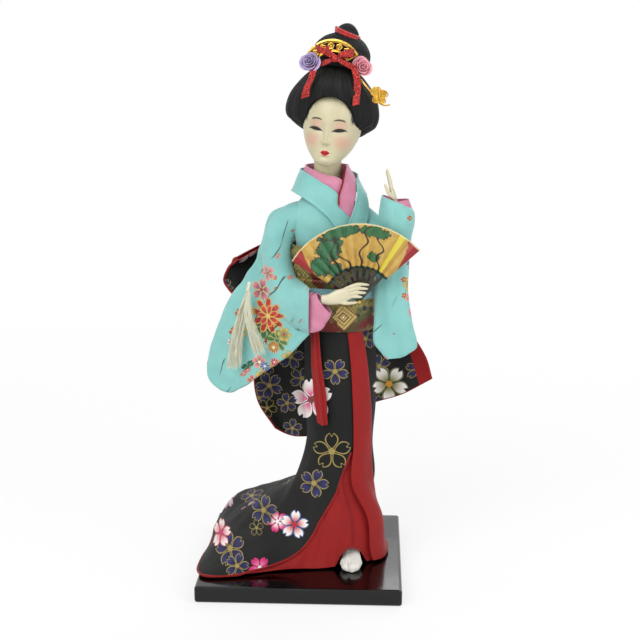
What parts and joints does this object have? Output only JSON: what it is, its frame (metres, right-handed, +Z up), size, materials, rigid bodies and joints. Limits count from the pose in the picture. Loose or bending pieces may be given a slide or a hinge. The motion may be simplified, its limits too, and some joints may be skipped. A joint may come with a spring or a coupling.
{
  "type": "geisha doll",
  "caption": "Standing geisha doll in a kimono with long sleeves, obi with back bow and trailing skirt, holding an open folding fan, on a square black lacquered stand.",
  "frame": {"origin": "Centre of the underside of the square stand.", "axes": "+Z up, the doll faces -Y, +X is to the viewer's right when looking at the face."},
  "size_m": [0.1277, 0.11, 0.3],
  "materials": {
    "black_lacquer": "glossy black lacquer over wood board",
    "steel_wire": "plain drawn wire",
    "white_cloth": "white woven sock cloth over stuffing",
    "padding": "wound cotton padding",
    "painted_skin": "satin painted skin with a soft blush",
    "black_hair": "combed and set black silk hair",
    "red_silk": "plain deep red silk",
    "red_glitter_ribbon": "red ribbon with metallic glitter",
    "gold_metal": "bright gilt metal",
    "purple_ribbon": "satin ribbon",
    "rose_pink_ribbon": "satin ribbon",
    "cyan_crepe": "light blue-green crepe, printed with flowers on the sleeves",
    "pink_silk": "plain pink silk",
    "gold_brocade": "gold brocade with woven lozenges",
    "sky_blue_cord": "flat braided cord",
    "black_silk": "black silk printed with blossoms in gold outline",
    "white_thread": "loose silk threads",
    "gold_paper": "pleated printed paper with gilt ground",
    "dark_wood": "thin dark painted slats"
  },
  "bodies": {
    "root": {"base_board": "black_lacquer", "leg_wire_left": "steel_wire", "leg_wire_right": "steel_wire", "arm_wire_left": "steel_wire", "arm_wire_right": "steel_wire", "foot_front": "white_cloth", "foot_back": "white_cloth", "torso_core": "padding", "head": "painted_skin", "hand_left": "painted_skin", "hand_right": "painted_skin", "hair_cap": "black_hair", "hair_bun": "black_hair", "hair_topknot": "black_hair", "bun_tie": "red_silk", "comb": "gold_metal", "hairpin": "gold_metal", "hair_ribbon_bow": "red_glitter_ribbon", "hair_ribbon_tail_left": "red_glitter_ribbon", "hair_ribbon_tail_right": "red_glitter_ribbon", "rose_purple": "purple_ribbon", "rose_pink": "rose_pink_ribbon", "kimono_bodice": "cyan_crepe", "kimono_collar": "cyan_crepe", "sleeve_left": "cyan_crepe", "sleeve_right": "cyan_crepe", "under_collar": "pink_silk", "sleeve_lining_left": "pink_silk", "sleeve_lining_right": "pink_silk", "obi": "gold_brocade", "obi_cord": "sky_blue_cord", "bow_knot": "black_silk", "bow_loop_left": "black_silk", "bow_loop_right": "black_silk", "bow_tail_left": "black_silk", "bow_tail_right": "black_silk", "kimono_skirt": "black_silk", "underskirt": "red_silk", "skirt_lapel": "red_silk", "sash_ribbon": "red_silk", "tassel": "white_thread", "fan_leaf": "gold_paper", "fan_rib_1": "dark_wood", "fan_rib_2": "dark_wood", "fan_rib_3": "dark_wood", "fan_rib_4": "dark_wood", "fan_rib_5": "dark_wood", "fan_rib_6": "dark_wood", "fan_rib_7": "dark_wood", "fan_rib_8": "dark_wood", "fan_rivet": "gold_metal"}
  },
  "joints": []
}
